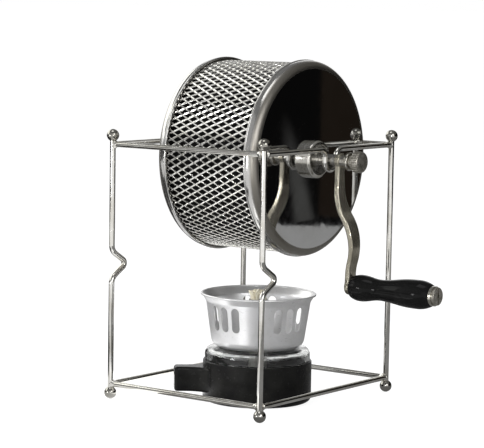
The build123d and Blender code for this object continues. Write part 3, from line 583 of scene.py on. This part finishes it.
# %% Finishes onto the drawn pieces
by_slot = {
    "stand_wire": wire, "bearing_steel": bearing, "mesh_steel": strand, "blackened_sheet": painted_shade_sheet,
    "polished_cap": mirror, "polished_hub": hub, "crank_steel": crank, "grip_black": lacquer,
    "cup_black": moulded, "clear_glass": glass, "burner_metal": dull, "shield_aluminium": spun,
    "wick_cotton": cotton,
}
own_finish = {
    "crank_arm": arm, "thumb_nut": nut, "grip_bolt": nut, "foot_balls": ball, "finial_balls": ball,
    "base_rail_front": rail, "base_rail_rear": rail, "base_rail_left": rail, "base_rail_right": rail,
    "top_rail_left": rail, "top_rail_right": rail,
}
for entry in frame["record"]["subparts"]:
    mesh = nodes[entry["node"]].data
    mesh.materials.clear()
    mesh.materials.append(own_finish.get(entry["node"], by_slot[entry["material_slot"]]))
print(len(by_slot), "finishes by slot and", len(own_finish), "exceptions")

# %% [markdown]
# New pieces are modelled with Blender's own tools, as by hand. A few helpers keep that short. One goes into
# edit mode with only those points selected that pass a test. The last ends a piece: it leaves edit mode,
# puts the piece's place into its mesh and hands it to the CAD body that carries it.

# %% Modelling helpers


def choose(piece, test):
    """Edit mode with only those points of the piece selected that pass the test."""
    bpy.ops.object.mode_set(mode="OBJECT")
    mesh = piece.data
    for part in (mesh.vertices, mesh.edges, mesh.polygons):
        part.foreach_set("select", [False] * len(part))
    mesh.vertices.foreach_set("select", [test(point.co) for point in mesh.vertices])
    bpy.ops.object.mode_set(mode="EDIT")
    bpy.ops.mesh.select_mode(type="VERT")


def begin(name):
    """Names the primitive that was just added and goes into edit mode with all of it selected."""
    piece = bpy.context.object
    piece.name = name
    bpy.ops.object.mode_set(mode="EDIT")
    bpy.ops.mesh.select_all(action="SELECT")
    return piece


def apply_all(piece):
    """Applies the modifiers of a piece, in order."""
    bpy.context.view_layer.objects.active = piece
    for modifier in list(piece.modifiers):
        bpy.ops.object.modifier_apply(modifier=modifier.name)


def end_piece(piece, body, slot, *stands_for):
    """Leaves edit mode, puts the place into the mesh, gives the finish and hands the piece to its body."""
    if bpy.context.mode != "OBJECT":
        bpy.ops.object.mode_set(mode="OBJECT")
    bpy.ops.object.select_all(action="DESELECT")
    piece.select_set(True)
    bpy.context.view_layer.objects.active = piece
    bpy.ops.object.transform_apply(location=True, rotation=True, scale=True)
    piece.data.materials.clear()
    piece.data.materials.append(by_slot[slot])
    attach(piece, body)
    if stands_for:
        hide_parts(*stands_for)
    bpy.ops.object.select_all(action="DESELECT")
    print(piece.name, len(piece.data.polygons), "faces")


print("helpers ready")

# %% [markdown]
# The drum's jacket is expanded metal: a sheet is slit and stretched, so the slits open into diamonds and
# every strand turns a little on edge. Crossing two sets of wires would be quicker, but the strands of the
# real sheet are one piece. So one diamond is drawn and inset to leave half a strand all round. Its ends are
# cut short, which makes the bonds where strands meet, and its inner edge is tilted.

# %% One diamond of the jacket
DIAMONDS_ROUND = 82
DIAMONDS_ALONG = 7
JACKET_INSET = 0.0010
HALF_STRAND = 0.00058
BOND = 0.0007
TWIST = 0.00042
ON_AXIS = 1e-6
OFF_AXIS = 1e-5
TIP_GAP = 1e-4
jacket_low, jacket_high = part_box("drum_mesh")
axis_x = (jacket_low.x + jacket_high.x) / 2
axis_z = (jacket_low.z + jacket_high.z) / 2
axis_point = Vector((axis_x, 0, axis_z))
jacket_r = jacket_high.x - axis_x - JACKET_INSET
diamond_step = 2 * math.pi / DIAMONDS_ROUND
diamond_l = (jacket_high.y - jacket_low.y) / DIAMONDS_ALONG
diamond_w = 2 * jacket_r * math.tan(diamond_step / 2)
first = Vector((axis_x, jacket_low.y, axis_z + jacket_r))

bpy.ops.mesh.primitive_circle_add(vertices=4, radius=1, fill_type="NGON", location=first)
jacket = begin("jacket_mesh")
bpy.ops.transform.resize(value=(diamond_w / 2, diamond_l / 2, 1), center_override=first)
bpy.ops.mesh.inset(thickness=HALF_STRAND)
bpy.ops.mesh.delete(type="FACE")
choose(jacket, lambda point: abs(point.x) < ON_AXIS and abs(point.y) < diamond_l / 2 - TIP_GAP)
bpy.ops.mesh.bevel(offset=BOND, affect="VERTICES")
for side in (1, -1):
    choose(jacket, lambda point: OFF_AXIS < side * point.x < diamond_w / 2 - TIP_GAP)
    bpy.ops.transform.translate(value=(0, 0, -side * TWIST))
print("diamond", round(diamond_l * 1000, 2), "x", round(diamond_w * 1000, 2), "mm")

# %% [markdown]
# The diamond is copied along the drum, and the row is copied again by half a step both ways, which staggers
# the diamonds. Both ends are cut off square. Spin with copies then carries the double row round the drum,
# and points that meet are merged, so that the lattice is one sheet. Array modifiers could copy it too, but
# in one mesh the points can be merged before it gets its thickness.

# %% Diamonds along and round the drum
MERGE_GAP = 0.00012
bpy.ops.mesh.select_all(action="SELECT")
for row in range(DIAMONDS_ALONG):
    bpy.ops.mesh.duplicate_move(TRANSFORM_OT_translate={"value": (0, diamond_l, 0)})
bpy.ops.mesh.select_all(action="SELECT")
bpy.ops.mesh.duplicate_move(TRANSFORM_OT_translate={"value": (0, diamond_l / 2, 0)})
bpy.ops.transform.rotate(value=diamond_step / 2, orient_axis="Y", center_override=axis_point)
for end_y, outwards in ((jacket_low.y, -1), (jacket_high.y, 1)):
    bpy.ops.mesh.select_all(action="SELECT")
    bpy.ops.mesh.bisect(plane_co=(0, end_y, 0), plane_no=(0, outwards, 0), clear_outer=True)
bpy.ops.mesh.select_all(action="SELECT")
bpy.ops.mesh.spin(steps=DIAMONDS_ROUND - 1, dupli=True, angle=2 * math.pi - diamond_step,
                  center=axis_point, axis=(0, 1, 0))
bpy.ops.mesh.select_all(action="SELECT")
bpy.ops.mesh.remove_doubles(threshold=MERGE_GAP)
bpy.ops.object.mode_set(mode="OBJECT")
print("lattice of", len(jacket.data.polygons), "flat strands")

# %% [markdown]
# Solidify gives the flat lattice the thickness of the sheet, and a small bevel breaks its edges. A
# subdivision would round them more softly, but it would also round off the sharp corners of the diamonds.

# %% Thickness of the jacket
SHEET_T = 0.0008
EDGE_ROUND = 0.00025
BEVEL_ANGLE = math.radians(50)
STRAND_ANGLE = math.radians(35)
body_of_sheet = jacket.modifiers.new("sheet", "SOLIDIFY")
body_of_sheet.thickness = SHEET_T
body_of_sheet.offset = 0
rounding = jacket.modifiers.new("rounding", "BEVEL")
rounding.width = EDGE_ROUND
rounding.segments = 1
rounding.limit_method = "ANGLE"
rounding.angle_limit = BEVEL_ANGLE
apply_all(jacket)
bpy.ops.object.shade_smooth_by_angle(angle=STRAND_ANGLE)
end_piece(jacket, "drum", "mesh_steel", "drum_mesh")

# %% [markdown]
# The wick is a bundle of soft cotton yarns. A single rod would look like a pencil, so yarns are laid side
# by side as in a rope. A yarn is pulled up from a small circle, turned a little at each pull, and rounded
# off at its top. The yarns further out end lower, which gives the bundle a domed head.

# %% One yarn of the wick
YARNS_ACROSS = 5
YARN_SIDES = 8
YARN_PULLS = 26
YARN_TURN = math.radians(100)
TIP_NARROWS = (0.65, 0.55)
wick_low, wick_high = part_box("wick")
tube_low, tube_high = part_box("wick_tube")
wick_middle = Vector(((wick_low.x + wick_high.x) / 2, (wick_low.y + wick_high.y) / 2, wick_low.z))
wick_r = (wick_high.x - wick_low.x) / 2
yarn_r = wick_r / YARNS_ACROSS


def pull_yarn(drop):
    """Extrudes the selected end of a yarn up the wick in small turned steps and rounds its top."""
    rise = (wick_high.z - wick_low.z - yarn_r - drop) / YARN_PULLS
    for pull in range(YARN_PULLS):
        bpy.ops.mesh.extrude_region_move(TRANSFORM_OT_translate={"value": (0, 0, rise)})
        bpy.ops.transform.rotate(value=YARN_TURN / YARN_PULLS, orient_axis="Z", center_override=wick_middle)
    for narrow in TIP_NARROWS:
        bpy.ops.mesh.extrude_region_move(TRANSFORM_OT_translate={"value": (0, 0, yarn_r / 2)})
        bpy.ops.transform.resize(value=(narrow, narrow, 1))


print("yarn", round(yarn_r * 2000, 2), "mm thick")

# %% [markdown]
# One yarn goes up the middle, and rings of six and twelve are spun round it. A yarn is modelled once for
# each ring, because its height depends on how far out it stands, and the rings are then joined into one
# piece.

# %% Bundle of yarns
TUFT_DOME = 0.0022
wick = None
for ring_r, count in ((0.0, 1), (2 * yarn_r, 6), (4 * yarn_r, 12)):
    at = wick_middle + Vector((ring_r, 0, 0))
    bpy.ops.mesh.primitive_circle_add(vertices=YARN_SIDES, radius=yarn_r, fill_type="NGON", location=at)
    yarns = begin("yarn_ring_%d" % count)
    pull_yarn(TUFT_DOME * (ring_r / wick_r) ** 2)
    bpy.ops.mesh.select_all(action="SELECT")
    bpy.ops.mesh.normals_make_consistent(inside=False)
    if count > 1:
        bpy.ops.mesh.spin(steps=count - 1, dupli=True, angle=2 * math.pi * (count - 1) / count,
                          center=wick_middle, axis=(0, 0, 1))
    bpy.ops.object.mode_set(mode="OBJECT")
    if wick is None:
        wick = yarns
        continue
    bpy.ops.object.select_all(action="DESELECT")
    yarns.select_set(True)
    wick.select_set(True)
    bpy.context.view_layer.objects.active = wick
    bpy.ops.object.join()
wick.name = "wick_yarns"
print("wick stands", round((wick_high.z - tube_high.z) * 1000, 1), "mm over its tube")

# %% [markdown]
# Above the tube nothing holds the yarns together, so they splay. The points over two heights are spread a
# little each time, which opens the bundle gradually, and the topmost are then moved at random, with a fixed
# seed. Bending each yarn by hand would take long and would look no looser.

# %% Loose tuft of the wick
TUFT_FROM = (0.0038, 0.0055)
TUFT_SPLAY = 1.34
TUFT_LOOSE = 0.0008
TUFT_SEED = 5
spread = TUFT_SPLAY ** 0.5
for height in TUFT_FROM:
    choose(wick, lambda point: point.z + wick.location.z > tube_high.z + height)
    bpy.ops.transform.resize(value=(spread, spread, 1), center_override=wick_middle)
bpy.ops.transform.vertex_random(offset=TUFT_LOOSE, seed=TUFT_SEED)
bpy.ops.object.mode_set(mode="OBJECT")
bpy.ops.object.shade_smooth()
end_piece(wick, "wick", "wick_cotton", "wick")

# %% [markdown]
# The font of the burner is pressed glass. Its drawn shape is exact, but pressed glass is never quite even,
# and its thick shoulder breaks the light into wavy lines. So it is turned again from its section. A point
# is drawn round the outline, first up the outside to the neck and then down the inside, and a bevel rounds
# the corners.

# %% Outline of the glass font
GLASS_T = 0.0024
BULGE = 0.0014
NECK_R = 0.0130
NECK_H = 0.0067
RIM_GAP = 0.0003
FOOT_ROUND = 0.0050
SHOULDER_ROUND = 0.0055
ROUND_STEPS = 8
AT_CORNER = 0.00005
START_SIZE = 0.001
font_low, font_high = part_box("glass_font")
cup_low, cup_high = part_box("burner_cup")
font_x = (font_low.x + font_high.x) / 2
font_y = (font_low.y + font_high.y) / 2
bulge_r = (font_high.x - font_low.x) / 2
bowl_r = bulge_r - BULGE
rim_z = cup_high.z + RIM_GAP
shoulder_z = font_high.z - NECK_H
inner_z = shoulder_z - GLASS_T
outline = [
    (0, font_low.z), (bowl_r, font_low.z), (bowl_r, rim_z), (bulge_r, rim_z + RIM_GAP), (bulge_r, shoulder_z),
    (NECK_R, shoulder_z), (NECK_R, font_high.z), (NECK_R - GLASS_T, font_high.z),
    (NECK_R - GLASS_T, inner_z), (bulge_r - GLASS_T, inner_z),
    (bulge_r - GLASS_T, rim_z), (bowl_r - GLASS_T, rim_z - BULGE), (bowl_r - GLASS_T, font_low.z + GLASS_T),
    (0, font_low.z + GLASS_T),
]
rounded = {
    (bowl_r, font_low.z): FOOT_ROUND,
    (bulge_r, shoulder_z): SHOULDER_ROUND,
    (bulge_r - GLASS_T, inner_z): SHOULDER_ROUND - GLASS_T,
    (bowl_r - GLASS_T, font_low.z + GLASS_T): FOOT_ROUND - GLASS_T,
}


def draw_outline(name, points):
    """A chain of points in the plane of x and z, drawn by extruding one point from place to place."""
    bpy.ops.mesh.primitive_plane_add(size=START_SIZE, location=points[0])
    piece = begin(name)
    bpy.ops.mesh.merge(type="CENTER")
    for here, there in zip(points, points[1:]):
        bpy.ops.mesh.extrude_region_move(TRANSFORM_OT_translate={"value": there - here})
    return piece


font = draw_outline("font_pressed_glass", [Vector((font_x + r, font_y, z)) for r, z in outline])
for (corner_r, corner_z), radius in rounded.items():
    corner = Vector((font_x + corner_r, font_y, corner_z)) - font.location
    choose(font, lambda point: (point - corner).length < AT_CORNER)
    bpy.ops.mesh.bevel(offset=radius, offset_type="OFFSET", segments=ROUND_STEPS, affect="VERTICES")
print("outline of", len(outline), "points,", len(rounded), "of them rounded")

# %% [markdown]
# The outline is spun round the burner's upright axis. Spin leaves a seam where it closes and a pole on the
# axis, so doubles are merged, and after that the faces are turned outwards. A cylinder could be squeezed to
# this shape instead, but a spun outline keeps the wall's thickness.

# %% Glass font spun round
FONT_STEPS = 128
SEAM_GAP = 0.00001
bpy.ops.mesh.select_all(action="SELECT")
bpy.ops.mesh.spin(steps=FONT_STEPS, angle=2 * math.pi, center=(font_x, font_y, 0), axis=(0, 0, 1))
bpy.ops.mesh.select_all(action="SELECT")
bpy.ops.mesh.remove_doubles(threshold=SEAM_GAP)
bpy.ops.mesh.normals_make_consistent(inside=False)
bpy.ops.object.mode_set(mode="OBJECT")
print("font spun in", FONT_STEPS, "steps")

# %% [markdown]
# A cloud texture moves the glass by a fraction of a millimetre. Only the outside of the free shoulder is in
# the vertex group that it acts on, because inside the cup and under the windshield's foot the font keeps
# its clearance. Sculpting would do it by hand, but a texture gives the same waves at every run.

# %% Waves of the pressed glass
WAVE = 0.0009
WAVE_LENGTH = 0.011
WAVE_LEVEL = 0.6
NECK_CLEAR = 0.004
GLASS_ANGLE = math.radians(40)
free = font.vertex_groups.new(name="free_shoulder")
axis_here = Vector((font_x, font_y, 0)) - font.location
for point in font.data.vertices:
    out_r = math.hypot(point.co.x - axis_here.x, point.co.y - axis_here.y)
    height = point.co.z + font.location.z
    on_outside = out_r > bulge_r - GLASS_T / 2 or height > shoulder_z - GLASS_T / 2
    if on_outside and height > rim_z + BULGE and NECK_R + NECK_CLEAR < out_r:
        free.add([point.index], 1.0, "REPLACE")
clouds = bpy.data.textures.new("pressed_glass_waves", "CLOUDS")
clouds.noise_scale = WAVE_LENGTH
waves = font.modifiers.new("waves", "DISPLACE")
waves.texture = clouds
waves.texture_coords = "LOCAL"
waves.strength = WAVE
waves.mid_level = WAVE_LEVEL
waves.vertex_group = "free_shoulder"
apply_all(font)
bpy.ops.object.select_all(action="DESELECT")
font.select_set(True)
bpy.ops.object.shade_smooth_by_angle(angle=GLASS_ANGLE)
end_piece(font, "burner", "clear_glass", "glass_font")

# %% [markdown]
# The rails of the stand are brazed to the posts, and the filler metal draws a small fillet round every
# joint. A drawing shows a bare corner there. One fillet is pulled from a ring on the rail towards the post,
# wider at each pull, loosened a little so that it looks run and not turned, and smoothed with one
# subdivision. Merging the wires and rounding their corner would mean drawing them anew, so the fillet is
# its own piece.

# %% One brazed joint
RAIL_R = 0.0022
RING_SIDES = 12
# distance from the post's axis, and width as a share of the rail's
FILLET = [(0.0062, 0.97), (0.0050, 1.05), (0.0040, 1.16), (0.0032, 1.36), (0.0026, 1.60), (0.0016, 1.62)]
RUN_LOOSE = 0.00014
RUN_SEED = 3
bpy.ops.mesh.primitive_circle_add(vertices=RING_SIDES, radius=RAIL_R, fill_type="NGON",
                                  rotation=(0, math.pi / 2, 0))
joint = begin("joint_one")
bpy.ops.transform.translate(value=(FILLET[0][0], 0, 0))
bpy.ops.transform.resize(value=(1, FILLET[0][1], FILLET[0][1]))
for (here, size), (there, wider) in zip(FILLET, FILLET[1:]):
    bpy.ops.mesh.extrude_region_move(TRANSFORM_OT_translate={"value": (there - here, 0, 0)})
    bpy.ops.transform.resize(value=(1, wider / size, wider / size))
bpy.ops.mesh.select_all(action="SELECT")
bpy.ops.mesh.normals_make_consistent(inside=False)
bpy.ops.transform.vertex_random(offset=RUN_LOOSE, seed=RUN_SEED)
bpy.ops.object.mode_set(mode="OBJECT")
bpy.ops.object.transform_apply(location=True, rotation=True, scale=True)
melt = joint.modifiers.new("melt", "SUBSURF")
melt.levels = 1
melt.render_levels = 1
apply_all(joint)
bpy.ops.object.shade_smooth()
print("joint of", len(joint.data.polygons), "faces")

# %% [markdown]
# Eight corners have two rail ends each. Every copy is turned to its rail's heading and rolled about the
# rail by a share of that, so that no two neighbours look cast in one mould. The sixteen copies are joined
# into one piece.

# %% Brazed joints of the stand
ROLL_SHARE = 0.3
post_low, post_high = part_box("post_front_right")
far_low, far_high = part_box("post_rear_right")
base_low, base_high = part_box("base_rail_front")
tops_low, tops_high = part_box("top_rail_left")
post_x = (post_low.x + post_high.x) / 2
front_y = (post_low.y + post_high.y) / 2
rear_y = (far_low.y + far_high.y) / 2
levels = [(base_low.z + base_high.z) / 2, (tops_low.z + tops_high.z) / 2]
corners = [(x, y, z) for z in levels for x in (-post_x, post_x) for y in (front_y, rear_y)]
copies = []
for x, y, z in corners:
    along_x = 0 if x < 0 else math.pi
    along_y = math.pi / 2 if y < (front_y + rear_y) / 2 else -math.pi / 2
    for heading in (along_x, along_y):
        bpy.ops.object.select_all(action="DESELECT")
        joint.select_set(True)
        bpy.context.view_layer.objects.active = joint
        bpy.ops.object.duplicate()
        copy = bpy.context.object
        copy.rotation_euler = (heading * ROLL_SHARE, 0, heading)
        copy.location = (x, y, z)
        copies.append(copy)
bpy.data.objects.remove(joint)
for copy in copies:
    copy.select_set(True)
bpy.context.view_layer.objects.active = copies[0]
bpy.ops.object.join()
joints = bpy.context.object
joints.name = "brazed_joints"
end_piece(joints, "stand", "stand_wire")
